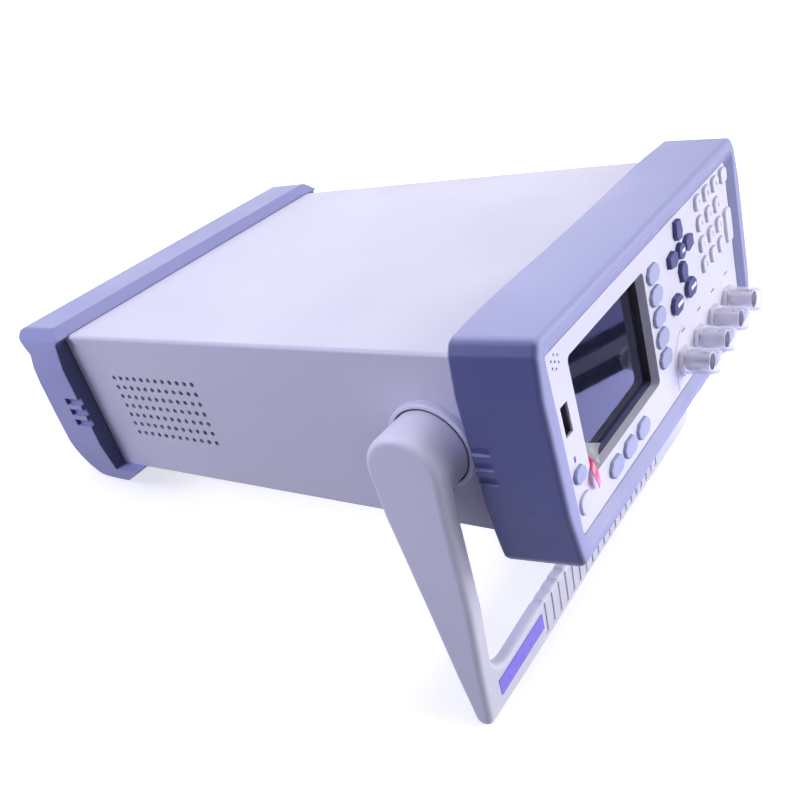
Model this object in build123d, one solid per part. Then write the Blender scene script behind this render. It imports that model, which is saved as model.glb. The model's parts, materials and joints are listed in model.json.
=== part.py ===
from build123d import *
import os
from math import acos, atan2, cos, degrees, hypot, radians, sin

# Bench LCR meter with a folding bail handle, in millimetres.
#
# Everything is modelled level, in the instrument's own directions: x to the right
# as seen from the front, y towards the rear, z up, z = 0 on the underside of the
# case. The last step leans the whole instrument back onto its bail and its rear
# heel, which is how it stands on a bench, and moves it to the export frame.

# ---- driving dimensions ----
case_width = 215.0
case_height = 84.0
sheet = 1.2
case_front_y = -44.0
case_rear_y = 251.5

panel_face_y = -50.5
panel_thickness = 4.2
panel_back_y = panel_face_y + panel_thickness
panel_left_x, panel_right_x = -101.7, 101.7
panel_bottom_z, panel_top_z = 0.4, 81.6
flange_thickness = 1.0

bumper_half_width = 117.2
bumper_front_half_width = 114.0
bumper_front_y = -53.6
bumper_rear_y = -17.0
bumper_bottom_z, bumper_top_z = -13.0, 93.0
bumper_corner_radius = 4.6
bumper_lip_radius = 2.6
mouth_flare = 4.6
rib_count, rib_pitch, rib_first_x = 4, 12.2, -41.0
groove_rows, groove_pitch_z, groove_height, groove_depth = 3, 7.0, 4.0, 2.2
front_groove_z, rear_groove_z = 46.6, 46.8

heel_radius = 28.0
heel_y, heel_z = 246.0, 16.0
rear_bumper_front_y = 243.0
rear_bumper_top_z = 90.0
bay_half_width = 101.0
bay_bottom_z, bay_top_z = 3.0, 80.0

hinge_y, hinge_z = 6.5, 41.5
hub_radius = 18.0
ring_radius = 20.8
ring_height = 3.6
ring_gap = 0.8
bail_outer_x = 132.6
bail_inner_x = 122.6
bail_edge_radius = 3.2
boss_inner_x = case_width / 2 + 1.8
pivot_radius = 9.0
running_clearance = 0.05
foot_radius = 4.7
foot_y, foot_z = 5.2, -94.8
arm_front_low = (-2.2, -66)
grip_height = 23.0
grip_arch = 4.5
grip_thickness = 6.4
grip_groove_count = 20
grip_groove_pitch = 7.75
grip_groove_depth = 0.6
grip_groove_width = 3.2
label_up = -3.4

key_travel = 1.0
key_clearance = 0.25
key_flange = 0.8
key_stem_back_y = -45.0
board_front_y = -41.6
board_thickness = 1.6

lcd_left_x, lcd_right_x = -86.5, -11.0
lcd_bottom_z, lcd_top_z = 17.5, 73.0
gasket_depth = 2.2

bnc_pitch = 22.0
bnc_first_x = 18.0
bnc_z = 13.4
bnc_count = 4
cap_length = 16.4
cap_radius = 6.45

vent_pitch = 5.85
vent_radius = 1.4
vent_columns, vent_rows = 12, 7
vent_last_y, vent_top_z = 214.0, 59.4

# ---- front panel layout: centre x, centre z ----
soft_key_x, soft_key_top_z, soft_key_pitch = -2.2, 67.8, 10.5
menu_key_x, menu_key_z, menu_key_pitch = -66.0, 9.5, 14.85
pad_x, pad_z, pad_reach = 30.3, 64.3, 10.2
digit_x, digit_z = 59.5, 76.4
digit_pitch_x, digit_pitch_z = 12.25, 10.6
trigger_key_at = (18.4, 42.8)
enter_key_at = (36.6, 43.0)
side_key_at = (-95.9, 26.0)
power_at = (-95.6, 12.0)
usb_at = (-96.0, 51.2)
led_at = (-96.4, 33.2)
beeper_at = (-95.4, 76.0)
beeper_ring = 3.0

# ---- rear panel layout ----
inlet_x, inlet_z = 66.0, 26.0
serial_x, handler_x, port_z = 10.0, -52.0, 26.0
ground_x, ground_z = 33.0, 26.0
ground_bore_radius, ground_bore_length = 2.0, 14.0


# ---- small helpers ----
def span(x0, x1, y0, y1, z0, z1):
    """Block between two corners."""
    return Pos((x0 + x1) / 2, (y0 + y1) / 2, (z0 + z1) / 2) * Box(x1 - x0, y1 - y0, z1 - z0)


def front_prism(sketch, y_front, y_back):
    """Sketch drawn as seen from the front (x right, z up), extruded between two depths."""
    return extrude(Plane.XZ.offset(-y_back) * sketch, amount=y_back - y_front, dir=(0, -1, 0))


def side_prism(sketch, x0, x1):
    """Sketch drawn as (y, z), extruded between two x positions."""
    return extrude(Plane.YZ.offset(x0) * sketch, amount=x1 - x0, dir=(1, 0, 0))


def tube_y(radius, y_front, y_back, x, z):
    """Round bar along y."""
    return front_prism(Pos(x, z) * Circle(radius), y_front, y_back)


def tube_x(radius, x0, x1, y, z):
    """Round bar along x."""
    return side_prism(Pos(y, z) * Circle(radius), min(x0, x1), max(x0, x1))


def frame_rect(x0, x1, z0, z1, corner):
    """Rectangle with rounded corners between two corners."""
    return Pos((x0 + x1) / 2, (z0 + z1) / 2) * RectangleRounded(x1 - x0, z1 - z0, corner)


def both_sides(shape):
    """Shape and its mirror image across the middle plane."""
    return shape + mirror(shape, Plane.YZ)


def one(shape):
    """Single solid out of a boolean result."""
    return shape.solids().sort_by(lambda s: s.volume)[-1]


# ---- case ----
def case_cover():
    """Folded sheet over the top and both sides, with a vent grid in each side."""
    half = case_width / 2
    outline = Pos(0, case_height / 2) * Rectangle(case_width, case_height)
    outline = fillet(outline.vertices().group_by(Axis.Y)[-1], 2.0)
    inside = Pos(0, (case_height - sheet) / 2) * Rectangle(case_width - 2 * sheet, case_height - sheet)
    inside = fillet(inside.vertices().group_by(Axis.Y)[-1], 0.8)
    cover = front_prism(outline - inside, case_front_y, case_rear_y)
    holes = [
        Pos(vent_last_y - column * vent_pitch, vent_top_z - row * vent_pitch) * Circle(vent_radius)
        for column in range(vent_columns)
        for row in range(vent_rows)
    ]
    vents = side_prism(Sketch() + holes, -half - 1, half + 1)
    pivot_holes = tube_x(3.2, -half - 1, half + 1, hinge_y, hinge_z)
    return cover - vents - pivot_holes


def chassis_tray():
    """Bottom plate with upturned sides, standoffs for the boards and a front rib."""
    half = case_width / 2 - sheet - 0.1
    tray = span(-half, half, case_front_y, case_rear_y - 2.2, 0, sheet)
    wall = span(half - sheet, half, case_front_y, case_rear_y - 2.2, 0, 14)
    tray += both_sides(wall)
    for x in (-88, 88):
        for y in (22, 158):
            tray += Pos(x, y, sheet) * Cylinder(3.5, 6, align=(Align.CENTER, Align.CENTER, Align.MIN))
    for x in (-80, 80):
        for y in (0, 212):
            tray -= Pos(x, y, 0) * Cylinder(1.7, 10)
    return tray


def rear_panel():
    """Sheet-metal rear wall with cut-outs for the inlet, the ports and the earth post."""
    half = case_width / 2 - sheet - 0.1
    wall = front_prism(frame_rect(-half, half, sheet + 0.1, case_height - sheet - 0.1, 1.2),
                       case_rear_y - 2.0, case_rear_y - 0.5)
    before, behind = case_rear_y - 4, case_rear_y + 2
    wall -= span(inlet_x - 13.8, inlet_x + 13.8, before, behind, inlet_z - 10, inlet_z + 10)
    wall -= span(serial_x - 9, serial_x + 9, before, behind, port_z - 5, port_z + 5)
    wall -= span(handler_x - 24, handler_x + 24, before, behind, port_z - 5.5, port_z + 5.5)
    wall -= tube_y(3.05, before, behind, ground_x, ground_z)
    for x in (-98, 98):
        for z in (10, 74):
            wall -= tube_y(1.6, before, behind, x, z)
    return wall


def mains_inlet():
    """IEC C14 inlet: flange, moulded body with its socket and three pins."""
    flange_y = case_rear_y - 0.4
    body = span(inlet_x - 25, inlet_x + 25, flange_y, flange_y + 3, inlet_z - 12, inlet_z + 12)
    body += span(inlet_x - 13.5, inlet_x + 13.5, flange_y - 24, flange_y, inlet_z - 9.75, inlet_z + 9.75)
    cavity = Pos(inlet_x, inlet_z) * Rectangle(24.4, 16.6)
    cavity = chamfer(cavity.vertices().group_by(Axis.Y)[-1], 4.0)
    body -= front_prism(cavity, flange_y - 15, flange_y + 4)
    for x, z in ((-7, -2), (7, -2), (0, 2)):
        body += span(inlet_x + x - 1, inlet_x + x + 1, flange_y - 30, flange_y - 1,
                     inlet_z + z - 2, inlet_z + z + 2)
    for x in (-20, 20):
        body -= tube_y(1.7, flange_y - 1, flange_y + 4, inlet_x + x, inlet_z)
    return body


def d_port(x, half_width, half_height):
    """D-shell connector with its flange and screw posts."""
    back = case_rear_y - 0.4
    shell = Pos(x, port_z) * Rectangle(2 * half_width, 2 * half_height)
    shell = fillet(shell.vertices(), 2.0)
    port = front_prism(shell, back - 12, back + 6) - front_prism(offset(shell, -0.9), back + 1, back + 7)
    port += span(x - half_width - 7, x + half_width + 7, back, back + 1, port_z - 6.2, port_z + 6.2)
    for side in (-1, 1):
        port += tube_y(2.4, back + 1, back + 5.5, x + side * (half_width + 4.2), port_z)
    return port


def interface_ports():
    """Nine-way serial port and the wide handler port."""
    return Compound([d_port(serial_x, 8.4, 4.2), d_port(handler_x, 23.0, 4.6)])


def ground_post():
    """Earth terminal: threaded post with a nut and a 4 mm socket in its end."""
    back = case_rear_y - 0.5
    post = tube_y(3.0, back - 10, back + 17, ground_x, ground_z)
    post += front_prism(Pos(ground_x, ground_z) * RegularPolygon(5.2, 6), back, back + 4)
    post += tube_y(5.0, back + 4, back + 17, ground_x, ground_z)
    return one(post - tube_y(ground_bore_radius, back + 17 - ground_bore_length, back + 18, ground_x, ground_z))


# ---- bumpers ----
def bumper_outline(half_width, bottom_z, top_z):
    """Bumper seen from the front: barrel sides with bevelled, softened corners."""
    side = [(half_width - 7.2, bottom_z), (half_width - 3.2, bottom_z + 5), (half_width, 18),
            (half_width, top_z - 22), (half_width - 2.5, top_z - 6), (half_width - 6, top_z)]
    outline = Polygon(*side, *[(-x, z) for x, z in reversed(side)], align=None)
    return fillet(outline.vertices(), bumper_corner_radius)


def side_grooves(y_front, y_back, top_groove_z):
    """Three short grooves cut into each side of a bumper."""
    grooves = []
    for row in range(groove_rows):
        z = top_groove_z - row * groove_pitch_z
        grooves.append(span(-bumper_half_width - 1, -bumper_half_width + groove_depth, y_front, y_back,
                            z - groove_height / 2, z + groove_height / 2))
    return grooves + [mirror(groove, Plane.YZ) for groove in grooves]


def mouth_rect(growth):
    """Outline of the front bumper's mouth, grown by a flare."""
    edge = 0.3 + growth
    return frame_rect(panel_left_x - edge, panel_right_x + edge, panel_bottom_z - edge, panel_top_z + edge,
                      2.0 + growth / 2)


def front_bumper():
    """Soft frame round the front: rounded lip, pocket for the case, grooves and foot ribs."""
    rear = Plane.XZ.offset(-bumper_rear_y) * bumper_outline(bumper_half_width, bumper_bottom_z, bumper_top_z)
    front = Plane.XZ.offset(-bumper_front_y) * bumper_outline(
        bumper_front_half_width, bumper_bottom_z + 1, bumper_top_z - 1)
    body = loft([rear, front])
    body = fillet(body.faces().sort_by(Axis.Y)[0].edges(), bumper_lip_radius)
    body = chamfer(body.faces().sort_by(Axis.Y)[-1].edges(), 1.6)
    underside = Polygon((bumper_front_y - 1, -7), (bumper_front_y, -7), (-47, bumper_bottom_z + 0.3),
                        (-47, -20), (bumper_front_y - 1, -20), align=None)
    body -= side_prism(underside, -120, 120)

    body -= front_prism(mouth_rect(0), bumper_front_y - 1, panel_back_y)
    flare_back = Plane.XZ.offset(-panel_face_y) * mouth_rect(0)
    flare_front = Plane.XZ.offset(-bumper_front_y + 0.05) * mouth_rect(mouth_flare)
    body -= loft([flare_back, flare_front])
    pocket_front_y = panel_back_y - flange_thickness - 0.1
    half = case_width / 2 + 0.1
    body -= span(-half, half, pocket_front_y, bumper_rear_y + 1, -0.1, case_height + 0.1)
    body -= side_grooves(bumper_rear_y - 9.5, bumper_rear_y + 1, front_groove_z)
    ribs = [span(x - 4.9, x + 4.9, -48.5, -24, bumper_bottom_z - 2.2, bumper_bottom_z + 3)
            for x in (rib_first_x - step * rib_pitch for step in range(rib_count))]
    return one(body + ribs + [mirror(rib, Plane.YZ) for rib in ribs])


def rear_bumper():
    """Soft frame round the rear: rounded heel, overhanging top lip and a gusset under the case."""
    bottom_z = heel_z - heel_radius
    side_view = make_face(
        Polyline((222.5, -0.1), (heel_y - 1, bottom_z), (heel_y, bottom_z))
        + RadiusArc((heel_y, bottom_z), (heel_y + heel_radius, heel_z), -heel_radius)
        + Polyline((heel_y + heel_radius, heel_z), (274.4, 37), (274, 58), (271.4, 75.7), (275.4, 80.5),
                   (278.5, 85.5), (277.5, 89), (275, rear_bumper_top_z), (246, rear_bumper_top_z),
                   (240, case_height), (rear_bumper_front_y, case_height - 2),
                   (rear_bumper_front_y, -0.1), (222.5, -0.1)))
    outline = bumper_outline(bumper_half_width, bottom_z, rear_bumper_top_z)
    body = side_prism(side_view, -120, 120) & front_prism(outline, 200, 300)

    half = case_width / 2 + 0.1
    body -= span(-half, half, 200, case_rear_y + 0.2, -0.1, case_height + 0.1)
    opening = frame_rect(-bay_half_width, bay_half_width, bay_bottom_z, bay_top_z, 4.0)
    body -= front_prism(opening, case_rear_y - 1, 300)
    body -= side_grooves(rear_bumper_front_y - 1, rear_bumper_front_y + 13, rear_groove_z)
    return one(body)


# ---- bail handle ----
def hub_rings():
    """Round escutcheon on each side of the case with the pivot stud in its middle."""
    start = case_width / 2
    ring = tube_x(ring_radius, start, start + ring_height, hinge_y, hinge_z)
    ring = fillet(ring.faces().sort_by(Axis.X)[-1].edges(), 0.8)
    ring -= tube_x(hub_radius + ring_gap, start + 1.5, start + 5, hinge_y, hinge_z)
    ring += tube_x(pivot_radius, start + 1, bail_inner_x + 2, hinge_y, hinge_z)
    ring -= tube_x(1.6, start - 1, start + 12, hinge_y, hinge_z)
    ring = one(ring)
    return Compound([ring, mirror(ring, Plane.YZ)])


def pivot_screws():
    """Screw and washer inside each side of the case that hold the pivot studs."""
    inside = case_width / 2 - sheet
    screw = tube_x(1.55, inside - 1, case_width / 2 + 10, hinge_y, hinge_z)
    screw += tube_x(6.0, inside - 1.2, inside, hinge_y, hinge_z)
    screw += tube_x(2.9, inside - 3.6, inside - 1.2, hinge_y, hinge_z)
    screw = one(screw)
    return Compound([screw, mirror(screw, Plane.YZ)])


def bail_handle():
    """One-piece bail: two round bosses, two tapering arms and an arched grip bar."""
    arm_view = make_face(
        Polyline((foot_y + foot_radius, foot_z), (13.2, -70), (16.5, -40), (20.3, -8), (23.4, 18),
                 (hinge_y + hub_radius, hinge_z))
        + RadiusArc((hinge_y + hub_radius, hinge_z), (hinge_y - hub_radius, hinge_z), -hub_radius)
        + Polyline((hinge_y - hub_radius, hinge_z), (-9.2, 18), (-6.6, -30), arm_front_low,
                   (foot_y - foot_radius, foot_z))
        + RadiusArc((foot_y - foot_radius, foot_z), (foot_y + foot_radius, foot_z), -foot_radius))
    bar = side_prism(arm_view, -bail_outer_x, bail_outer_x)
    end_rims = [e for e in bar.edges() if abs(abs(e.center().X) - bail_outer_x) < 0.01]
    bar = fillet(end_rims, bail_edge_radius)

    top_z = hinge_z + hub_radius + 1
    end_z = foot_z - foot_radius
    grip_top_z = end_z + grip_height
    inner = make_face(
        Polyline((-bail_inner_x, grip_top_z), (-bail_inner_x, top_z), (bail_inner_x, top_z),
                 (bail_inner_x, grip_top_z))
        + ThreePointArc((bail_inner_x, grip_top_z), (0, grip_top_z + grip_arch), (-bail_inner_x, grip_top_z)))
    inner = fillet(inner.vertices().group_by(Axis.Y)[0], 14.0)
    below = make_face(
        Polyline((-bail_inner_x, end_z - 0.2), (-bail_inner_x, end_z - 5), (bail_inner_x, end_z - 5),
                 (bail_inner_x, end_z - 0.2))
        + ThreePointArc((bail_inner_x, end_z - 0.2), (0, end_z + grip_arch), (-bail_inner_x, end_z - 0.2)))
    handle = bar - front_prism(inner, -40, 60) - front_prism(below, -40, 60)
    grip_rims = [
        e for e in handle.edges()
        if abs(e.center().X) < 5 and e.center().Z > end_z + grip_height - 2 and e.length > 100
    ]
    handle = fillet(grip_rims, 2.5)
    handle -= grip_face() * Pos(0, 0, -grip_thickness - 20) * Box(2 * bail_inner_x, 90, 40)
    boss = tube_x(hub_radius, boss_inner_x, bail_inner_x + 2, hinge_y, hinge_z)
    handle += both_sides(boss)
    bore = tube_x(pivot_radius + running_clearance, boss_inner_x - 1, bail_inner_x + 2.5, hinge_y, hinge_z)
    handle -= both_sides(bore)
    handle = one(handle)
    slots = []
    for step in range(grip_groove_count):
        x = (step - (grip_groove_count - 1) / 2) * grip_groove_pitch
        crown_z = grip_top_z + grip_arch * (1 - (x / bail_inner_x) ** 2)
        slots.append(span(x - grip_groove_width / 2, x + grip_groove_width / 2, -12, 30,
                          crown_z - grip_groove_depth, crown_z + 4))
        slots.append(grip_face() * (Pos(x, 0, 2.5 - grip_groove_depth) * Box(grip_groove_width, 26, 5)))
    return one(handle - slots)


def grip_face():
    """Plane on the sloping front of the grip, with its origin half way up the grip."""
    low, high = Vector(0, foot_y - foot_radius, foot_z), Vector(0, *arm_front_low)
    return Plane(origin=(low + high) / 2, x_dir=(1, 0, 0), z_dir=(0, low.Z - high.Z, high.Y - low.Y))


def grip_label():
    """Blank plate on the front of the grip, beside the left arm."""
    plate = Pos(-98.5, label_up) * Rot(0, 0, 2.2) * RectangleRounded(44, 10, 0.6)
    return extrude(grip_face() * Pos(0, 0, 0.02) * plate, 0.3)


# ---- front panel and what it carries ----
def soft_outline(width=12.2, height=8.2, corner=2.6):
    """Rectangle with broad chamfers, softened."""
    shape = chamfer(Rectangle(width, height).vertices(), corner)
    return fillet(shape.vertices(), 0.8)


def arrow_outline():
    """Tapered arrow key that points up, wide towards the middle of the pad."""
    shape = Polygon((-2.7, 4.7), (2.7, 4.7), (3.9, -1.4), (2.0, -4.5), (-2.0, -4.5), (-3.9, -1.4), align=None)
    return fillet(shape.vertices(), 0.6)


def digit_outline(rows=1):
    """Rounded key one or more grid rows tall."""
    return RectangleRounded(8.2, 7.4 + (rows - 1) * digit_pitch_z, 2.6)


def layout_keys():
    """Every key as name: (outline, x, z, height above the panel)."""
    keys = {}
    for row in range(5):
        keys[f"soft_key_{row + 1}"] = (soft_outline(), soft_key_x, soft_key_top_z - row * soft_key_pitch, 1.5)
    for column in range(3):
        keys[f"menu_key_{column + 1}"] = (soft_outline(), menu_key_x + column * menu_key_pitch, menu_key_z, 1.5)
    for name, turn in (("up", 0), ("left", 90), ("down", 180), ("right", 270)):
        reach = (-pad_reach * sin(radians(turn)), pad_reach * cos(radians(turn)))
        keys[f"{name}_key"] = (Rot(0, 0, turn) * arrow_outline(), pad_x + reach[0], pad_z + reach[1], 2.0)
    keys["select_key"] = (Circle(3.9), pad_x, pad_z, 2.2)
    keys["trigger_key"] = (soft_outline(11.6, 8.6), *trigger_key_at, 2.0)
    keys["enter_key"] = (soft_outline(11.6, 8.6), *enter_key_at, 2.0)
    for row in range(4):
        for column in range(3):
            at = (digit_x + column * digit_pitch_x, digit_z - row * digit_pitch_z)
            keys[f"digit_key_{row + 1}{column + 1}"] = (digit_outline(), *at, 1.6)
    last_x = digit_x + 3 * digit_pitch_x
    keys["clear_key"] = (digit_outline(), last_x, digit_z, 1.6)
    keys["tall_key"] = (digit_outline(2), last_x, digit_z - 2.5 * digit_pitch_z, 1.6)
    keys["side_key"] = (soft_outline(8.8, 6.6, 2.0), *side_key_at, 1.5)
    keys["power_button"] = (RectangleRounded(9.8, 8.8, 3.8), *power_at, 1.2)
    return keys


def key_solid(outline, x, z, proud):
    """Key cap with a softened face and a retaining flange behind the panel."""
    face_y = panel_face_y - proud
    cap = front_prism(Pos(x, z) * outline, face_y, key_stem_back_y)
    cap = chamfer(cap.faces().sort_by(Axis.Y)[0].edges(), 0.3)
    flange = front_prism(Pos(x, z) * offset(outline, key_flange), panel_back_y + 0.1, key_stem_back_y)
    return one(cap + flange)


def front_panel(keys):
    """Moulded panel with the display opening, key holes and connector holes."""
    plate = front_prism(frame_rect(panel_left_x, panel_right_x, panel_bottom_z, panel_top_z, 1.7),
                        panel_face_y, panel_back_y)
    half = case_width / 2 - 0.2
    plate += span(-half, half, panel_back_y - flange_thickness, panel_back_y, 0.3, case_height - 0.3)
    openings = [frame_rect(lcd_left_x, lcd_right_x, lcd_bottom_z, lcd_top_z, 2.5)]
    openings += [Pos(x, z) * offset(outline, key_clearance) for outline, x, z, _ in keys.values()]
    openings += [Pos(*led_at) * RectangleRounded(1.8, 3.0, 0.85)]
    openings += [Pos(*usb_at) * RectangleRounded(6.0, 13.6, 0.5)]
    openings += [Pos(bnc_first_x + step * bnc_pitch, bnc_z) * Circle(4.9) for step in range(bnc_count)]
    openings += [Pos(*beeper_at) * Circle(0.55)]
    openings += [Pos(*beeper_at) * loc * Circle(0.55) for loc in PolarLocations(beeper_ring, 6, 90)]
    cutters = [front_prism(shape, panel_face_y - 1, panel_back_y + 1) for shape in openings]
    return one(plate - cutters)


def lcd_gasket():
    """Black foam frame between the panel and the display."""
    outer = frame_rect(lcd_left_x - 2.0, lcd_right_x + 1.6, lcd_bottom_z - 2.0, lcd_top_z + 2.0, 1.0)
    inner = frame_rect(lcd_left_x + 0.8, lcd_right_x - 0.8, lcd_bottom_z + 0.8, lcd_top_z - 0.8, 1.5)
    return front_prism(outer - inner, panel_back_y, panel_back_y + gasket_depth)


def lcd_module():
    """Flat display module with its metal back."""
    front = panel_back_y + gasket_depth
    return span(lcd_left_x - 1.2, lcd_right_x + 1.4, front, front + 6, lcd_bottom_z - 2.2, lcd_top_z + 2.2)


def protective_film():
    """Clear shipping film over the display."""
    front = panel_back_y + gasket_depth - 0.25
    return span(lcd_left_x + 1.2, lcd_right_x - 1.2, front, front + 0.15, lcd_bottom_z + 1.2, lcd_top_z - 1.2)


def keypad_board():
    """Circuit board behind the keys, cut away round the display and the connectors."""
    board = front_prism(frame_rect(-104, 104, 1.8, 82, 2), board_front_y, board_front_y + board_thickness)
    board -= span(lcd_left_x - 2.4, lcd_right_x + 1.9, -45, -35, lcd_bottom_z - 2.6, lcd_top_z + 2.6)
    board -= span(8, 95, -45, -35, 0, 25)
    board -= span(usb_at[0] - 4, usb_at[0] + 4, -45, -35, usb_at[1] - 8, usb_at[1] + 8)
    return one(board)


def key_switches(keys):
    """Tact switch behind each key: square body with a round plunger."""
    plunger_y = key_stem_back_y + key_travel + 0.15
    switches = []
    for _, x, z, _ in keys.values():
        body = span(x - 2.2, x + 2.2, board_front_y - 1.6, board_front_y, z - 2.2, z + 2.2)
        switches.append(one(body + tube_y(1.2, plunger_y, board_front_y - 1, x, z)))
    return Compound(switches)


def status_led():
    """Light pipe behind the small oval hole."""
    pipe = front_prism(Pos(*led_at) * RectangleRounded(1.6, 2.8, 0.75), panel_face_y + 0.2, board_front_y)
    return one(pipe + front_prism(Pos(*led_at) * Circle(2.0), -44, board_front_y))


def beeper():
    """Round sounder behind the ring of seven holes."""
    body = tube_y(5.2, -45.6, board_front_y, *beeper_at)
    return one(body - tube_y(1.0, -46, -44.4, *beeper_at))


def usb_port():
    """Upright USB socket: metal shell with its tongue."""
    x, z = usb_at
    front = panel_face_y + 0.6
    back = front + 15
    shell = front_prism(Pos(x, z) * RectangleRounded(5.6, 13.1, 0.4), front, back)
    shell -= front_prism(Pos(x, z) * Rectangle(5.0, 12.5), front - 1, back - 1)
    shell += span(x - 1.9, x - 0.1, front + 2, back - 1, z - 5.6, z + 5.6)
    return one(shell)


# ---- test terminals ----
def bnc_centres():
    return [(bnc_first_x + step * bnc_pitch, bnc_z) for step in range(bnc_count)]


def bnc_connector(x, z):
    """Bulkhead BNC: nut on the panel, barrel with two lugs, centre contact and rear body."""
    nut = front_prism(Pos(x, z) * RegularPolygon(6.6, 6, major_radius=False), panel_face_y - 2.2, panel_face_y)
    barrel = tube_y(4.8, panel_face_y - 14, panel_back_y + 8, x, z)
    barrel -= tube_y(4.05, panel_face_y - 15, panel_face_y - 2, x, z)
    contact = tube_y(2.3, panel_face_y - 9, panel_face_y - 1, x, z)
    contact += tube_y(1.1, panel_face_y - 11, panel_face_y - 8, x, z)
    rear = tube_y(6.4, panel_back_y, panel_back_y + 7, x, z)
    lugs = extrude(Plane.XY.offset(z - 5.5) * Pos(x, panel_face_y - 11) * Circle(1.0), 11)
    lugs -= tube_y(4.4, panel_face_y - 15, panel_face_y - 5, x, z)
    return one(barrel + nut + contact + rear + lugs)


def bnc_connectors():
    """The four test terminals."""
    return Compound([bnc_connector(x, z) for x, z in bnc_centres()])


def bnc_cap(x, z):
    """Thin moulded dust cap with a domed end and a slight bead at its mouth."""
    mouth_y = panel_face_y - 2.4
    end_y = mouth_y - cap_length
    cap = tube_y(cap_radius, end_y, mouth_y, x, z)
    cap = fillet(cap.faces().sort_by(Axis.Y)[0].edges(), 2.6)
    cap += tube_y(cap_radius + 0.35, mouth_y - 1.4, mouth_y, x, z)
    return one(cap - tube_y(cap_radius - 0.75, end_y + 1.2, mouth_y + 1, x, z))


# ---- inside the case ----
def main_board():
    """Measurement board on the tray's standoffs, with its shields, relays and capacitors."""
    z = sheet + 6
    board = span(-96, 96, 14, 168, z, z + board_thickness)
    top = z + board_thickness
    parts = [span(-86, -30, 24, 74, top, top + 12), span(-20, 30, 24, 74, top, top + 12)]
    parts += [span(-84 + 17 * step, -72 + 17 * step, 86, 110, top, top + 10) for step in range(6)]
    parts += [span(-60, -30, 122, 152, top, top + 2.6), span(-10, 12, 124, 146, top, top + 2.4)]
    parts += [Pos(40 + 16 * step, 138, top) * Cylinder(6, 22, align=(Align.CENTER, Align.CENTER, Align.MIN))
              for step in range(3)]
    return Compound([board] + parts)


def power_transformer():
    """Mains transformer on the tray: laminated core with its winding."""
    core = span(-70, -10, 184, 232, sheet, 52)
    window = span(-71, -9, 192, 224, 14, 40)
    winding = span(-58, -22, 178, 238, 15, 39)
    return one(core - window + winding)


def case_screws():
    """Pan-head screws: four through the rear panel and four up through the tray."""
    screws = []
    for x in (-98, 98):
        for z in (10, 74):
            head = tube_y(2.8, case_rear_y - 0.5, case_rear_y + 1.5, x, z)
            screws.append(one(head + tube_y(1.45, case_rear_y - 9, case_rear_y - 0.4, x, z)))
    for x in (-80, 80):
        for y in (0, 212):
            shank = Pos(x, y, -0.4) * Cylinder(1.45, 9, align=(Align.CENTER, Align.CENTER, Align.MIN))
            head = Pos(x, y, -2.0) * Cylinder(2.8, 2.0, align=(Align.CENTER, Align.CENTER, Align.MIN))
            screws.append(one(shank + head))
    return Compound(screws)


# ---- export ----
def lean_angle():
    """Angle that puts the bail's foot and the rear heel on one level."""
    across, up = heel_y - foot_y, heel_z - foot_z
    return acos((heel_radius - foot_radius) / hypot(across, up)) - atan2(across, up)


def export_location():
    """Lean the level model back, then set its box's bottom centre at the origin."""
    lean = lean_angle()
    lift = foot_y * sin(lean) - foot_z * cos(lean) + foot_radius
    return Pos(0, -y_middle(lean), lift) * Rot(-degrees(lean), 0, 0)


def y_middle(lean):
    """Middle of the leaning model's extent along y."""
    turned = Rot(-degrees(lean), 0, 0)
    front = turned * Compound([bnc_cap(x, z) for x, z in bnc_centres()] + [front_bumper()])
    rear = turned * rear_bumper()
    return (front.bounding_box().min.Y + rear.bounding_box().max.Y) / 2


def build_nodes():
    keys = layout_keys()
    nodes = {
        "case_cover": case_cover(),
        "chassis_tray": chassis_tray(),
        "rear_panel": rear_panel(),
        "mains_inlet": mains_inlet(),
        "interface_ports": interface_ports(),
        "ground_post": ground_post(),
        "front_bumper": front_bumper(),
        "rear_bumper": rear_bumper(),
        "hub_rings": hub_rings(),
        "pivot_screws": pivot_screws(),
        "bail_handle": bail_handle(),
        "grip_label": grip_label(),
        "front_panel": front_panel(keys),
        "lcd_gasket": lcd_gasket(),
        "lcd_module": lcd_module(),
        "protective_film": protective_film(),
        "keypad_board": keypad_board(),
        "key_switches": key_switches(keys),
        "status_led": status_led(),
        "beeper": beeper(),
        "usb_port": usb_port(),
        "bnc_connectors": bnc_connectors(),
        "main_board": main_board(),
        "power_transformer": power_transformer(),
        "case_screws": case_screws(),
    }
    for number, (x, z) in enumerate(bnc_centres(), 1):
        nodes[f"bnc_cap_{number}"] = bnc_cap(x, z)
    for name, spec in keys.items():
        nodes[name] = key_solid(*spec)
    return nodes


os.makedirs("parts", exist_ok=True)
place = export_location()
for name, shape in build_nodes().items():
    export_step(place * shape, f"parts/{name}.step")
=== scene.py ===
import json
import math

import bpy
from mathutils import Matrix, Vector


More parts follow.
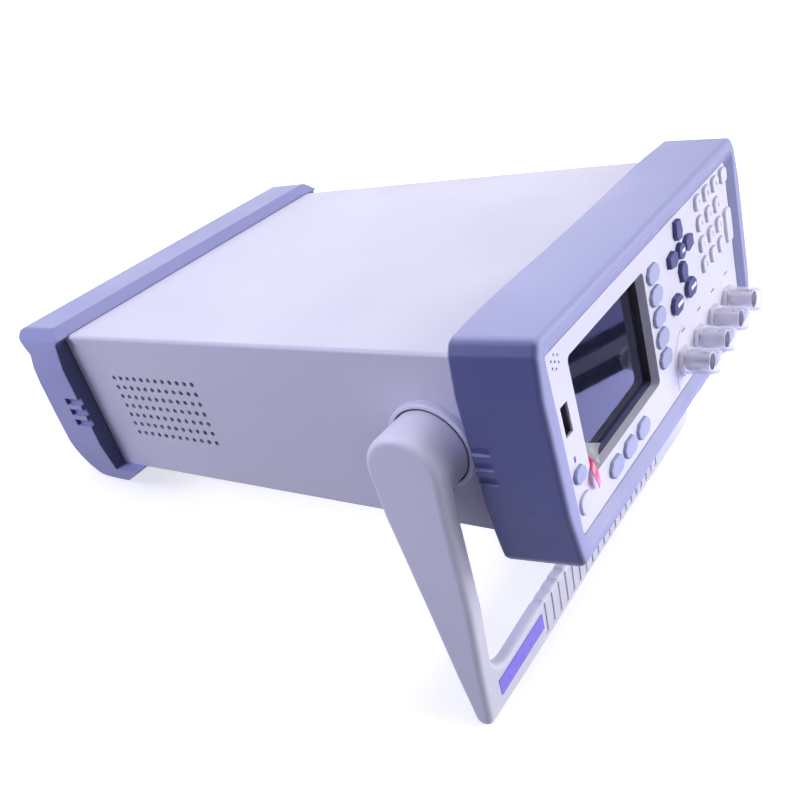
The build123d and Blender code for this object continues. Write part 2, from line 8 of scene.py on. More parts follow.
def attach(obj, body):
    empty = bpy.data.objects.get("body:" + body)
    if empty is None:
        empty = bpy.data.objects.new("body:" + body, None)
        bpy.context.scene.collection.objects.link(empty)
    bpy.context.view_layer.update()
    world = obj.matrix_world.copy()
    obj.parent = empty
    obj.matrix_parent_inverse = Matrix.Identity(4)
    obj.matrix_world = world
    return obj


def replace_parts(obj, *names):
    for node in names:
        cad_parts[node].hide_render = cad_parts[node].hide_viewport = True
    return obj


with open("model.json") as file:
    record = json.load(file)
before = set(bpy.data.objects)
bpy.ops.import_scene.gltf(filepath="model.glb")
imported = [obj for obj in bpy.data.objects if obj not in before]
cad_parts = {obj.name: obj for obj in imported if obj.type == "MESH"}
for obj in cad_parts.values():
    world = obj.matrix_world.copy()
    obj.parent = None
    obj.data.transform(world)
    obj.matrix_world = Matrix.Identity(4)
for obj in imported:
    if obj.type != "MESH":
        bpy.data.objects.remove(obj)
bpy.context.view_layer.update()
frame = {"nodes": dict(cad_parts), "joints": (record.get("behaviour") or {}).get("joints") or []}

# The instrument is drawn level, in millimetres: x right, y to the rear, z up, z = 0 under the
# case. One matrix leans it back into the row frame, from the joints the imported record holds.
JOINTS = {j["name"]: j for j in frame["joints"]}
HINGE_Y, HINGE_Z = 6.5, 41.5
press = JOINTS["soft_key_1_press"]["axis"]
LEAN = math.atan2(-press[2], press[1])
TURN = Matrix.Rotation(-LEAN, 4, "X") @ Matrix.Scale(0.001, 4)
SHIFT = Vector(JOINTS["bail_swing"]["pos_m"]) - TURN @ Vector((0, HINGE_Y, HINGE_Z))
LEVEL = Matrix.Translation(SHIFT) @ TURN

PANEL_Y = -50.5
BNC_X, BNC_Z = (18.0, 40.0, 62.0, 84.0), 13.4
CAP_MOUTH_Y = PANEL_Y - 2.4
PRINT_LIFT = 0.01
NODES = frame["nodes"]


# ---- materials ----
def node(tree, kind, **values):
    """Shader node with its inputs and properties set."""
    made = tree.nodes.new(kind)
    for key, value in values.items():
        if key in made.inputs:
            made.inputs[key].default_value = value
        else:
            setattr(made, key, value)
    return made


def noise(tree, scale, detail=3.0):
    """Noise in object space, so that it stays on the piece."""
    place = tree.nodes.get("Place") or tree.nodes.new("ShaderNodeTexCoord")
    place.name = "Place"
    made = node(tree, "ShaderNodeTexNoise", Scale=scale, Detail=detail)
    tree.links.new(place.outputs["Object"], made.inputs["Vector"])
    return made.outputs["Fac"]


def ranged(tree, value, low, high, start=0.3, end=0.7, **settings):
    """Value from start..end mapped onto low..high. The defaults are where most of a noise lies."""
    made = node(tree, "ShaderNodeMapRange", **settings)
    for index, number in enumerate((start, end, low, high), 1):
        made.inputs[index].default_value = number
    tree.links.new(value, made.inputs[0])
    return made.outputs[0]


def mixed(tree, factor, first, second):
    """Colour between two colours or sockets."""
    made = node(tree, "ShaderNodeMix", data_type="RGBA")
    for socket, value in ((made.inputs[0], factor), (made.inputs[6], first), (made.inputs[7], second)):
        if isinstance(value, bpy.types.NodeSocket):
            tree.links.new(value, socket)
        else:
            socket.default_value = value
    return made.outputs[2]


def layered(tree, factor, first, second):
    """Shader between two shaders, by a factor socket."""
    made = node(tree, "ShaderNodeMixShader")
    for socket, value in zip(made.inputs, (factor, first, second)):
        tree.links.new(value, socket)
    return made.outputs[0]


def shade(colour, factor):
    """Colour made darker or paler by a factor."""
    return tuple(min(1.0, c * factor) for c in colour) + (1.0,)


def surface(name, colour, rough, grain=(900, 0.15, 0.02), mottle=(14, 0.05), rough_spread=0.06,
            edge=0.0, rounding=0.0, **principled):
    """Moulded, painted or plated surface: mottled colour, uneven gloss, fine grain, paler edges."""
    material = bpy.data.materials.new(name)
    material.use_nodes = True
    tree = material.node_tree
    shader = tree.nodes["Principled BSDF"]
    for key, value in principled.items():
        shader.inputs[key.replace("_", " ")].default_value = value

    blotches = noise(tree, mottle[0], 5.0)
    paint = mixed(tree, blotches, shade(colour, 1 - mottle[1]), shade(colour, 1 + mottle[1]))
    specks = noise(tree, grain[0] * 0.6, 2.0)
    paint = mixed(tree, ranged(tree, specks, 0.0, mottle[1]), paint, shade(colour, 0.8))
    if edge:
        # Edges, found from the rounded normal, get a paler colour.
        bevel = node(tree, "ShaderNodeBevel", Radius=0.0009, samples=4)
        geometry = node(tree, "ShaderNodeNewGeometry")
        facing = node(tree, "ShaderNodeVectorMath", operation="DOT_PRODUCT")
        tree.links.new(bevel.outputs[0], facing.inputs[0])
        tree.links.new(geometry.outputs["Normal"], facing.inputs[1])
        edge_paling = ranged(tree, facing.outputs["Value"], edge, 0.0, 0.9, 0.99)
        paint = mixed(tree, edge_paling, paint, shade(colour, 1.35))
    tree.links.new(paint, shader.inputs["Base Color"])
    gloss = ranged(tree, noise(tree, mottle[0] * 2.3, 4.0), rough - rough_spread, rough + rough_spread)
    tree.links.new(gloss, shader.inputs["Roughness"])

    bump = node(tree, "ShaderNodeBump", Strength=grain[1], Distance=grain[2] * 0.001)
    tree.links.new(noise(tree, grain[0], 3.0), bump.inputs["Height"])
    if rounding:
        round_edges = node(tree, "ShaderNodeBevel", Radius=rounding * 0.001, samples=4)
        tree.links.new(round_edges.outputs[0], bump.inputs["Normal"])
    tree.links.new(bump.outputs[0], shader.inputs["Normal"])
    return material


def toned_faces(material, colour, direction, low, high):
    """Another tone on the faces that look along a direction, and also against it where it is x.

    The tone stands in for shading that the lamps alone don't give.
    """
    tree = material.node_tree
    shader = tree.nodes["Principled BSDF"]
    facing = node(tree, "ShaderNodeVectorMath", operation="DOT_PRODUCT")
    facing.inputs[1].default_value = direction
    tree.links.new(tree.nodes["Place"].outputs["Normal"], facing.inputs[0])
    towards = facing.outputs["Value"]
    if direction[0]:
        size = node(tree, "ShaderNodeMath", operation="ABSOLUTE")
        tree.links.new(towards, size.inputs[0])
        towards = size.outputs[0]
    share = ranged(tree, towards, 0.0, 1.0, low, high, interpolation_type="SMOOTHSTEP")
    cloudy = mixed(tree, noise(tree, 12, 4.0), shade(colour, 0.92), shade(colour, 1.08))
    paint = shader.inputs["Base Color"].links[0].from_socket
    tree.links.new(mixed(tree, share, paint, cloudy), shader.inputs["Base Color"])


def brushed(name, colour, rough, **more):
    """Metal with fine lines drawn along one direction."""
    material = surface(name, colour, rough, grain=(700, 0.1, 0.01), mottle=(40, 0.06), Metallic=1.0, **more)
    tree = material.node_tree
    shader = tree.nodes["Principled BSDF"]
    stretch = node(tree, "ShaderNodeMapping")
    stretch.inputs["Scale"].default_value = (60, 2400, 2400)
    place = tree.nodes["Place"]
    lines = node(tree, "ShaderNodeTexNoise", Scale=1.0, Detail=2.0)
    tree.links.new(place.outputs["Object"], stretch.inputs["Vector"])
    tree.links.new(stretch.outputs[0], lines.inputs["Vector"])
    bump = shader.inputs["Normal"].links[0].from_node
    tree.links.new(lines.outputs["Fac"], bump.inputs["Height"])
    return material


def clear(name, tint, seen_through, rough, milky=0.0):
    """Clear or milky sheet: see-through, with a glossy face that strengthens at a glance."""
    material = bpy.data.materials.new(name)
    material.use_nodes = True
    tree = material.node_tree
    shader = tree.nodes["Principled BSDF"]
    shader.inputs["Base Color"].default_value = tint + (1.0,)
    cloud = ranged(tree, noise(tree, 160, 3.0), rough * 0.7, rough * 1.3)
    tree.links.new(cloud, shader.inputs["Roughness"])
    shader.inputs["Specular IOR Level"].default_value = 0.7
    through = node(tree, "ShaderNodeBsdfTransparent", Color=(1, 1, 1, 1))
    edge_on = node(tree, "ShaderNodeLayerWeight", Blend=0.35)
    cloudy = 1 - seen_through
    amount = ranged(tree, edge_on.outputs["Facing"], cloudy, min(1.0, cloudy + 0.35 + milky))
    wisps = node(tree, "ShaderNodeMath", operation="MULTIPLY")
    tree.links.new(amount, wisps.inputs[0])
    tree.links.new(ranged(tree, noise(tree, 90, 4.0), 0.9, 1.08), wisps.inputs[1])
    both = layered(tree, wisps.outputs[0], through.outputs[0], shader.outputs[0])
    tree.links.new(both, tree.nodes["Material Output"].inputs["Surface"])
    return material


def thin_film(name, haze, rough):
    """Clear sheet lying on a face: its gloss and a trace of haze over what is under it."""
    material = bpy.data.materials.new(name)
    material.use_nodes = True
    tree = material.node_tree
    shader = tree.nodes["Principled BSDF"]
    shader.inputs["Base Color"].default_value = (0.8, 0.8, 1.0, 1.0)
    through = node(tree, "ShaderNodeBsdfTransparent", Color=(1, 1, 1, 1))
    gloss = node(tree, "ShaderNodeBsdfGlossy", Color=(1, 1, 1, 1))
    tree.links.new(ranged(tree, noise(tree, 60, 3.0), rough * 0.6, rough * 1.4), gloss.inputs["Roughness"])
    cloud = ranged(tree, noise(tree, 90, 4.0), haze * 0.6, haze * 1.4)
    hazy = layered(tree, cloud, through.outputs[0], shader.outputs[0])
    glance = node(tree, "ShaderNodeFresnel", IOR=1.4)
    both = layered(tree, glance.outputs[0], hazy, gloss.outputs[0])
    tree.links.new(both, tree.nodes["Material Output"].inputs["Surface"])
    return material


CASE = surface("case_coat", (0.57, 0.56, 0.67), 0.42, grain=(1500, 0.25, 0.02), mottle=(9, 0.03),
               rounding=0.5)
BUMPER = surface("bumper_moulding", (0.31, 0.325, 0.56), 0.46, grain=(1900, 0.3, 0.03), mottle=(11, 0.05),
                 edge=0.25, rounding=1.0, Sheen_Weight=0.15, Sheen_Roughness=0.4)
# Painted shade: faces of the bumper that look either way along x get a darker tone.
toned_faces(BUMPER, (0.058, 0.066, 0.22), (1, 0, 0), 0.30, 0.97)
REAR_BUMPER = surface("rear_bumper_moulding", (0.25, 0.26, 0.50), 0.46, grain=(1900, 0.3, 0.03),
                      mottle=(11, 0.05), edge=0.2, rounding=1.6, Sheen_Weight=0.15, Sheen_Roughness=0.4)
# Painted shade: faces of the rear bumper that look forward get a darker tone.
toned_faces(REAR_BUMPER, (0.06, 0.065, 0.17), (0, -1, 0), 0.5, 0.95)
BAIL = surface("bail_moulding", (0.66, 0.65, 0.78), 0.44, grain=(1700, 0.25, 0.03), mottle=(16, 0.04),
               edge=0.2, rounding=0.4)
PANEL = surface("panel_film", (0.70, 0.69, 0.79), 0.38, grain=(2300, 0.2, 0.015), mottle=(12, 0.03))
GREY_KEY = surface("key_grey", (0.38, 0.41, 0.63), 0.5, grain=(2600, 0.25, 0.02), mottle=(60, 0.06),
                   edge=0.2, rounding=0.35)
NAVY_KEY = surface("key_navy", (0.045, 0.05, 0.20), 0.42, grain=(2600, 0.25, 0.02), mottle=(60, 0.08),
                   edge=0.35, rounding=0.35)
WHITE_KEY = surface("key_white", (0.70, 0.69, 0.81), 0.48, grain=(2600, 0.25, 0.02), mottle=(60, 0.05),
                    edge=0.1, rounding=0.4)
DISPLAY = surface("display_glass", (0.010, 0.011, 0.034), 0.06, grain=(300, 0.01, 0.005), mottle=(6, 0.12),
                  rough_spread=0.02, Specular_IOR_Level=0.95, Coat_Weight=1.0, Coat_Roughness=0.03)
BLACK = surface("black_moulding", (0.012, 0.012, 0.016), 0.5, grain=(1900, 0.25, 0.02), mottle=(50, 0.15))
GASKET = surface("gasket_foam", (0.012, 0.012, 0.016), 0.6, grain=(1500, 0.3, 0.03), mottle=(60, 0.15))
# Painted light: faces of the gasket that look up get a paler violet tone.
toned_faces(GASKET, (0.10, 0.10, 0.26), (0, 0, 1), 0.5, 0.95)
NICKEL = surface("nickel_plate", (0.74, 0.72, 0.80), 0.34, grain=(1200, 0.12, 0.01), mottle=(90, 0.06),
                 edge=0.3, rounding=0.15, Metallic=1.0)
STEEL = brushed("zinc_steel", (0.58, 0.58, 0.60), 0.36, rounding=0.25)
BOARD = surface("solder_mask", (0.03, 0.17, 0.09), 0.34, grain=(500, 0.2, 0.03), mottle=(200, 0.22),
                Coat_Weight=0.4)
IRON = surface("varnished_iron", (0.14, 0.12, 0.11), 0.46, grain=(420, 0.4, 0.08), mottle=(70, 0.2))
LABEL = surface("plate_film", (0.12, 0.07, 0.78), 0.32, grain=(1400, 0.1, 0.01), mottle=(120, 0.12),
                Coat_Weight=0.5)
LIGHT_PIPE = surface("light_pipe", (0.10, 0.14, 0.42), 0.2, grain=(900, 0.05, 0.01), mottle=(300, 0.1))
PRINT = surface("panel_print", (0.16, 0.16, 0.30), 0.5, grain=(1800, 0.1, 0.01), mottle=(200, 0.1))
PALE_PRINT = surface("key_print", (0.82, 0.82, 0.92), 0.5, grain=(1800, 0.1, 0.01), mottle=(200, 0.06))
CAP = clear("cap_polythene", (0.90, 0.89, 0.97), 0.86, 0.12, milky=0.15)
FILM = thin_film("shipping_film", 0.006, 0.04)
USB_SHELL = surface("port_shell", (0.30, 0.29, 0.33), 0.4, grain=(1200, 0.12, 0.01), mottle=(90, 0.1),
                    Metallic=1.0)
CURL = clear("film_curl", (0.93, 0.93, 1.0), 0.80, 0.14, milky=0.05)
TAB = clear("tab_film", (0.78, 0.06, 0.20), 0.15, 0.25, milky=0.1)

NODE_LOOK = {
    "case_cover": CASE, "rear_panel": CASE, "chassis_tray": STEEL, "mains_inlet": BLACK,
    "interface_ports": NICKEL, "ground_post": NICKEL, "front_bumper": BUMPER, "rear_bumper": REAR_BUMPER,
    "hub_rings": BAIL, "pivot_screws": STEEL, "bail_handle": BAIL, "grip_label": LABEL,
    "front_panel": PANEL, "lcd_gasket": GASKET, "lcd_module": DISPLAY, "protective_film": FILM,
    "keypad_board": BOARD, "key_switches": BLACK, "status_led": LIGHT_PIPE, "beeper": BLACK,
    "usb_port": USB_SHELL, "bnc_connectors": NICKEL, "main_board": BOARD, "power_transformer": IRON,
    "case_screws": STEEL, "power_button": WHITE_KEY, "clear_key": WHITE_KEY, "tall_key": WHITE_KEY,
    "side_key": GREY_KEY,
}
NAVY = ("up_key", "left_key", "down_key", "right_key", "select_key", "trigger_key", "enter_key")


def look_of(name):
    """Material of a CAD node."""
    if name in NODE_LOOK:
        return NODE_LOOK[name]
    if name.startswith("bnc_cap"):
        return CAP
    if name in NAVY:
        return NAVY_KEY
    return WHITE_KEY if name.startswith("digit_key") else GREY_KEY


for name, shown in NODES.items():
    shown.data.materials.clear()
    shown.data.materials.append(look_of(name))


# ---- new pieces ----
def piece(name, mesh, body, material, smooth=True):
    """Mesh drawn level in millimetres, put in place and tied to its body."""
    mesh.transform(LEVEL)
    mesh.materials.append(material)
    for polygon in mesh.polygons:
        polygon.use_smooth = smooth
    made = bpy.data.objects.new(name, mesh)
    bpy.context.scene.collection.objects.link(made)
    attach(made, body)
    return made


def mesh_of(name, vertices, faces):
    made = bpy.data.meshes.new(name)
    made.from_pydata([tuple(v) for v in vertices], [], faces)
    made.validate()
    made.update()
    return made


def lathe(name, profile, x, z, steps=48):
    """Profile of (radius, y) pairs turned about an axis along y."""
    vertices, faces = [], []
    for step in range(steps):
        turn = 2 * math.pi * step / steps
        vertices += [(x + r * math.cos(turn), y, z + r * math.sin(turn)) for r, y in profile]
    count = len(profile)
    for step in range(steps):
        here, there = step * count, (step + 1) % steps * count
        faces += [(here + k, here + k + 1, there + k + 1, there + k) for k in range(count - 1)]
    return mesh_of(name, vertices, faces)


def dust_cap(number, x):
    """Dust cap with a domed end, a bead round its mouth and a real wall."""
    outer = [(6.75, 0), (6.85, 0.5), (6.75, 1.1), (6.4, 1.6), (6.3, 6.0), (6.3, 10.5), (6.2, 12.6),
             (5.8, 14.2), (5.0, 15.4), (3.6, 16.1), (1.8, 16.4), (0.02, 16.4)]
    inner = [(0.02, 15.5), (3.2, 15.3), (4.8, 14.6), (5.5, 13.2), (5.6, 8.0), (5.6, 0)]
    profile = [(radius, CAP_MOUTH_Y - reach) for radius, reach in inner + outer]
    name = f"dust_cap_{number}"
    return piece(name, lathe(name, profile, x, BNC_Z), f"bnc_cap_{number}_body", CAP)


for number, x in enumerate(BNC_X, 1):
    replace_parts(dust_cap(number, x), f"bnc_cap_{number}")


# the film's rectangle, the fold that cuts its lower left corner off, and how far the corner curls
FILM_Y = -44.35
FILM_X, FILM_Z = (-85.3, -12.2), (18.7, 71.8)
FOLD = (Vector((FILM_X[0], 33.0)), Vector((-63.5, FILM_Z[0])))
CORNER = Vector((FILM_X[0], FILM_Z[0]))
FOLD_LINE = (FOLD[1] - FOLD[0]).normalized()
FOLD_CORNER_SHARE = (CORNER - FOLD[0]).dot(FOLD_LINE) / (FOLD[1] - FOLD[0]).length
FOLD_NORMAL = (CORNER - FOLD[0]) - FOLD_LINE * (CORNER - FOLD[0]).dot(FOLD_LINE)
FOLD_TO_CORNER = FOLD_NORMAL.length
FOLD_NORMAL = FOLD_NORMAL.normalized()
CURL_RADIUS, CURL_ANGLE = 4.5, math.radians(62)


def film_point(corner_way, along, rise=0.0):
    """Point of the display film: corner_way past the fold towards its lower left corner."""
    bend = min(corner_way / CURL_RADIUS, CURL_ANGLE)
    straight = max(0.0, corner_way - CURL_RADIUS * CURL_ANGLE)
    flat = CURL_RADIUS * math.sin(bend) + straight * math.cos(bend)
    lifted = CURL_RADIUS * (1 - math.cos(bend)) + straight * math.sin(bend)
    start, end = FOLD
    share = corner_way / FOLD_TO_CORNER
    base = start.lerp(end, share * FOLD_CORNER_SHARE + along * (1 - share))
    spot = base + FOLD_NORMAL * flat
    return Vector((spot.x, FILM_Y - lifted - rise, spot.y))


def display_film():
    """Clear film on the display, cut along the fold of its lower left corner."""
    outline = [(FILM_X[1], FILM_Z[0]), (FILM_X[1], FILM_Z[1]), (FILM_X[0], FILM_Z[1]),
               tuple(FOLD[0]), tuple(FOLD[1])]
    mesh = mesh_of("display_film", [(x, FILM_Y, z) for x, z in outline], [tuple(range(5))])
    return piece("display_film", mesh, "instrument", FILM)


def film_curl():
    """Lifted corner of the film, bent round the fold, with a slight ripple along it."""
    ripple_height, ripple_turn = 0.35, 1.1
    vertices, faces, rows, columns = [], [], 16, 12
    for row in range(rows + 1):
        for column in range(columns + 1):
            ripple = ripple_height * math.sin(column * ripple_turn) * math.sin(math.pi * row / rows)
            vertices.append(film_point(FOLD_TO_CORNER * row / rows, column / columns, ripple))
    for row in range(rows):
        for column in range(columns):
            low = row * (columns + 1) + column
            faces.append((low, low + 1, low + columns + 2, low + columns + 1))
    piece("film_curl", mesh_of("film_curl", vertices, faces), "instrument", CURL)


def ribbon(name, centres, widths, across):
    """Flat strip through the centres, with one width at each."""
    vertices, faces = [], []
    for centre, width, side in zip(centres, widths, across):
        half = Vector(side).normalized() * width / 2
        vertices += [Vector(centre) - half, Vector(centre), Vector(centre) + half]
    for row in range(len(centres) - 1):
        faces += [(3 * row + k, 3 * row + k + 1, 3 * row + k + 4, 3 * row + k + 3) for k in range(2)]
    return mesh_of(name, vertices, faces)


def pull_tab():
    """Red pull tab stuck to the lifted corner, hanging down over the panel."""
    centres = [(-84.2, -48.6, 25.6), (-85.2, -50.6, 23.6), (-86.2, -52.2, 21.2), (-86.6, -53.0, 18.6),
               (-86.3, -53.2, 16.0), (-85.6, -52.6, 13.6), (-84.9, -52.0, 12.2)]
    widths = [3.0, 4.6, 5.4, 5.2, 4.4, 2.4, 0.8]
    across = [(1, 0.1, 0.5), (1, 0.1, 0.45), (1, 0.2, 0.35), (1, 0.25, 0.3), (1, 0.2, 0.4), (1, 0.1, 0.5),
              (1, 0, 0.5)]
    made = piece("pull_tab", ribbon("pull_tab", centres, widths, across), "instrument", TAB)
    smooth = made.modifiers.new("soften", "SUBSURF")
    smooth.levels = smooth.render_levels = 2
    sheet = made.modifiers.new("thickness", "SOLIDIFY")
    sheet.thickness = 0.0001


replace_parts(display_film(), "protective_film")
film_curl()
pull_tab()


def bars(name, body, material, boxes, y, depth=0.06):
    """Thin printed bars on a face: each box is x, z, width, height and turn in degrees."""
    vertices, faces = [], []
    for x, z, width, height, turn in boxes:
        angle = math.radians(turn)
        right = Vector((math.cos(angle), 0, math.sin(angle)))
        up = Vector((-math.sin(angle), 0, math.cos(angle)))
        start = len(vertices)
        for level in (y, y - depth):
            for across, along in ((-1, -1), (1, -1), (1, 1), (-1, 1)):
                vertices.append(Vector((x, level, z)) + right * across * width / 2 + up * along * height / 2)
        faces += [tuple(start + k for k in (3, 2, 1, 0)), tuple(start + k for k in (4, 5, 6, 7))]
        faces += [tuple(start + k for k in (a, (a + 1) % 4, 4 + (a + 1) % 4, 4 + a)) for a in range(4)]
    piece(name, mesh_of(name, vertices, faces), body, material, smooth=False)


def panel_lines():
    """Outline round the terminals' part of the panel, and a tick over each terminal."""
    line = [(8.5, 2.0), (8.5, 20.0), (16.0, 27.6), (23.0, 29.7)]
    stroke = 0.22
    tick_z, tick_width, tick_height = 27.2, 4.4, 0.9
    boxes = []
    for (x0, z0), (x1, z1) in zip(line, line[1:]):
        boxes.append(((x0 + x1) / 2, (z0 + z1) / 2, math.hypot(x1 - x0, z1 - z0), stroke,
                      math.degrees(math.atan2(z1 - z0, x1 - x0))))
    boxes += [(x, tick_z, tick_width, tick_height, 0) for x in (22.7, 45.0, 65.7, 86.4)]
    bars("panel_lines", "instrument", PRINT, boxes, PANEL_Y - PRINT_LIFT)


def key_marks():
    """Plain bar on three navy keys: how far the key stands out, then the bar."""
    for name, proud, bar in (
            ("trigger_key", 2.0, (19.8, 42.8, 6.6, 1.9, 0)),
            ("enter_key", 2.0, (37.9, 43.0, 6.6, 1.9, 0)),
            ("select_key", 2.2, (31.2, 64.3, 3.6, 1.7, 0))):
        bars(f"{name}_mark", f"{name}_body", PALE_PRINT, [bar], PANEL_Y - proud - PRINT_LIFT)


DIGITS = {"digit_key_11": "7", "digit_key_12": "8", "digit_key_13": "9", "digit_key_21": "4",
          "digit_key_22": "5", "digit_key_23": "6", "digit_key_31": "1", "digit_key_32": "2",
          "digit_key_33": "3", "digit_key_41": "0", "digit_key_42": ".", "digit_key_43": "-"}
DIGIT_X, DIGIT_Z = 59.5, 76.4
DIGIT_PITCH_X, DIGIT_PITCH_Z = 12.25, 10.6
DIGIT_Y = PANEL_Y - 1.63
NUMERAL_SIZE, NUMERAL_DEPTH = 3.4, 0.03


def digit_marks():
    """Small numeral on each digit key."""
    for name, numeral in DIGITS.items():
        row, column = int(name[-2]) - 1, int(name[-1]) - 1
        words = bpy.data.curves.new(f"{name}_mark", "FONT")
        words.body, words.size, words.extrude = numeral, NUMERAL_SIZE, NUMERAL_DEPTH
        words.align_x, words.align_y = "CENTER", "CENTER"
        holder = bpy.data.objects.new(f"{name}_source", words)
        bpy.context.scene.collection.objects.link(holder)
        ready = holder.evaluated_get(bpy.context.evaluated_depsgraph_get())
        mesh = bpy.data.meshes.new_from_object(ready)
        bpy.data.objects.remove(holder)
        place = (DIGIT_X + DIGIT_PITCH_X * column, DIGIT_Y, DIGIT_Z - DIGIT_PITCH_Z * row)
        mesh.transform(Matrix.Translation(place) @ Matrix.Rotation(math.radians(90), 4, "X"))
        mesh.name = f"{name}_mark"
        mesh.materials.clear()
        piece(f"{name}_mark", mesh, f"{name}_body", PRINT, smooth=False)


def vent_painted_shade():
    """Black discs just inside the seven holes of the sounder's vent, one hole in a ring of six, as painted
    shade in the holes.
    """
    centre = Vector((-95.4, 76.0))
    ring, radius, depth, sides = 3.0, 0.54, 0.2, 16
    holes = [centre] + [centre + Vector((ring * math.cos(turn), ring * math.sin(turn)))
                        for turn in (math.radians(90 + 60 * step) for step in range(6))]
    vertices, faces = [], []
    for hole in holes:
        start = len(vertices)
        vertices += [(hole.x + radius * math.cos(a), PANEL_Y + depth, hole.y + radius * math.sin(a))
                     for a in (2 * math.pi * k / sides for k in range(sides))]
        faces.append(tuple(range(start, start + sides)))
    piece("vent_painted_shade", mesh_of("vent_painted_shade", vertices, faces), "instrument", BLACK,
          smooth=False)


def hub_gap_shade(name, side):
    """Black ring in the gap round the bail's boss, as painted shade in the gap, on the left with side 1, the
    right with -1.
    """
    inner, outer = 18.1, 18.7
    root, face = 109.7, 111.0
    mesh = lathe(name, [(inner, root), (inner, face), (outer, face), (outer, root)], 0, 0, 96)
    hinge = Matrix.Translation((0, HINGE_Y, HINGE_Z))
    mesh.transform(hinge @ Matrix.Rotation(math.radians(90 * side), 4, "Z"))
    piece(name, mesh, "instrument", BLACK)


vent_painted_shade()
hub_gap_shade("hub_gap_shade_left", 1)
hub_gap_shade("hub_gap_shade_right", -1)
panel_lines()
key_marks()
digit_marks()


# ---- floor, light and camera ----
FLOOR_REACH = 6
WALL_RADIUS, WALL_HEIGHT, WALL_SIDES = 5.9, 6.0, 48


def floor():
    """Pale floor that glows a little, so that it stays near white without stronger lamps."""
    corners = [(x * FLOOR_REACH, y * FLOOR_REACH, 0) for x, y in ((-1, -1), (1, -1), (1, 1), (-1, 1))]
    mesh = mesh_of("floor", corners, [(0, 1, 2, 3)])
    made = bpy.data.objects.new("floor", mesh)
    bpy.context.scene.collection.objects.link(made)
    mesh.materials.append(surface("pale_floor", (0.60, 0.60, 0.62), 0.7, grain=(40, 0.05, 0.2),
                                  mottle=(2, 0.01), Emission_Color=(0.95, 0.95, 1.0, 1.0),
                                  Emission_Strength=0.62))
    made.visible_diffuse = False


def backdrop():
    """Pale round wall behind the floor, seen from low angles. It lights nothing."""
    turns = [2 * math.pi * step / WALL_SIDES for step in range(WALL_SIDES)]
    vertices = [(WALL_RADIUS * math.cos(a), WALL_RADIUS * math.sin(a), z)
                for z in (-0.01, WALL_HEIGHT) for a in turns]
    faces = [(k, (k + 1) % WALL_SIDES, WALL_SIDES + (k + 1) % WALL_SIDES, WALL_SIDES + k)
             for k in range(WALL_SIDES)]
    made = bpy.data.objects.new("backdrop", mesh_of("backdrop", vertices, faces))
    bpy.context.scene.collection.objects.link(made)
    made.data.materials.append(surface("pale_wall", (0.02, 0.02, 0.02), 0.9, grain=(4, 0.02, 0.2),
                                       mottle=(1, 0.02), Emission_Color=(0.93, 0.93, 1.0, 1.0),
                                       Emission_Strength=0.85))
    made.visible_diffuse = made.visible_glossy = made.visible_shadow = False


def soft_light(name, place, target, size, power, colour):
    """Rectangular softbox at a place in the row frame, turned to a target."""
    lamp = bpy.data.lights.new(name, "AREA")
    lamp.shape = "RECTANGLE"
    lamp.size, lamp.size_y = size
    lamp.energy = power
    lamp.color = colour
    made = bpy.data.objects.new(name, lamp)
    made.location = place
    made.rotation_euler = (Vector(target) - Vector(place)).to_track_quat("-Z", "Y").to_euler()
    bpy.context.scene.collection.objects.link(made)


def between(far_edge, near_edge):
    """Corners of the card between two edges, each given by its left and right end."""
    return [far_edge[0], near_edge[0], near_edge[1], far_edge[1]]


def reflected_card(name, corners, colour, strength, height=0.002):
    """Card just over the floor that only glossy surfaces see, as a studio flag before the display."""
    made = bpy.data.objects.new(name, mesh_of(name, [(x, y, height) for x, y in corners], [(0, 1, 2, 3)]))
    material = bpy.data.materials.new(name)
    material.use_nodes = True
    tree = material.node_tree
    tree.nodes.remove(tree.nodes["Principled BSDF"])
    glow = node(tree, "ShaderNodeEmission", Color=colour + (1,), Strength=strength)
    tree.links.new(glow.outputs[0], tree.nodes["Material Output"].inputs["Surface"])
    made.data.materials.append(material)
    made.visible_camera = made.visible_diffuse = made.visible_shadow = made.visible_transmission = False
    bpy.context.scene.collection.objects.link(made)


floor()
backdrop()
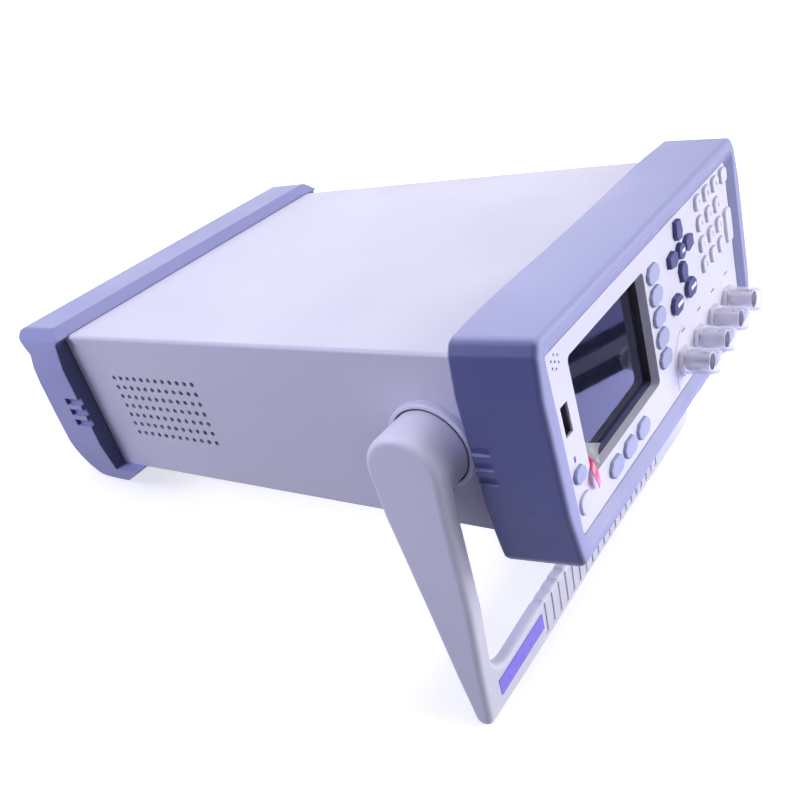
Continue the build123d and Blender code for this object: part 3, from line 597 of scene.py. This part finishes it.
# The display mirrors this part of the floor towards the camera. The violet cards lie side by side
# from far to near, and two dark bars lie over them. An edge goes from its left end to its right one.
FAR_EDGE = (0.320, -0.623), (0.500, -0.345)
MIDDLE_EDGE = (0.240, -0.573), (0.425, -0.295)
NEAR_EDGE = (-0.06, -0.39), (0.14, -0.125)
VIOLET, DIM_VIOLET, PALE_VIOLET, DARK = (0.40, 0.41, 1.0), (0.40, 0.41, 0.72), (0.47, 0.48, 1.0), (0, 0, 0)
BAR_HEIGHT = 0.004
reflected_card("far_card", [(0.290, -0.682), (0.900, -0.682), (0.900, 0.0), FAR_EDGE[1]], VIOLET, 1.45)
reflected_card("middle_card", between(FAR_EDGE, MIDDLE_EDGE), DIM_VIOLET, 1.0, 0.0025)
reflected_card("near_card", between(MIDDLE_EDGE, NEAR_EDGE), PALE_VIOLET, 4.2)
reflected_card("dark_bar_1", between(((0.350, -0.641), (0.530, -0.352)), ((0.302, -0.612), (0.485, -0.337))),
               DARK, 0.0, BAR_HEIGHT)
reflected_card("dark_bar_2", between(((0.258, -0.584), (0.446, -0.307)), ((0.216, -0.559), (0.398, -0.282))),
               DARK, 0.0, BAR_HEIGHT)

soft_light("top_softbox", (0.35, 0.35, 1.5), (0, 0.05, 0.1), (1.4, 1.4), 15, (0.97, 0.97, 1.0))
soft_light("backdrop_light", (1.5, 1.7, 0.62), (0, 0, 0.12), (2.4, 1.1), 18, (0.95, 0.95, 1.0))
soft_light("front_softbox", (0.75, -1.4, 0.75), (0, -0.15, 0.12), (1.3, 1.0), 31, (0.98, 0.97, 1.0))
soft_light("rear_left_softbox", (-0.75, 0.70, 0.55), (-0.10, 0.0, 0.15), (0.5, 0.5), 9.0, (0.76, 0.76, 1.0))
soft_light("front_left_softbox", (-1.1, -0.8, 0.7), (-0.10, 0.0, 0.15), (0.8, 0.8), 3.0, (0.76, 0.76, 1.0))

world = bpy.data.worlds.new("studio")
world.use_nodes = True
world.node_tree.nodes["Background"].inputs["Color"].default_value = (0.78, 0.78, 0.98, 1)
world.node_tree.nodes["Background"].inputs["Strength"].default_value = 0.09
bpy.context.scene.world = world

# place in the instrument's level millimetres, turn in the row frame
CAMERA_PLACE, CAMERA_TURN = (-352.025, -208.493, 227.880), (51.283, -0.804, -56.672)
camera = bpy.data.objects.new("camera", bpy.data.cameras.new("camera"))
camera.data.sensor_width = 36.0
camera.data.lens = 40.88
camera.data.clip_start, camera.data.clip_end = 0.01, 50
camera.location = LEVEL @ Vector(CAMERA_PLACE)
camera.rotation_euler = tuple(math.radians(a) for a in CAMERA_TURN)
bpy.context.scene.collection.objects.link(camera)
bpy.context.scene.camera = camera
bpy.context.scene.view_settings.view_transform = "Standard"
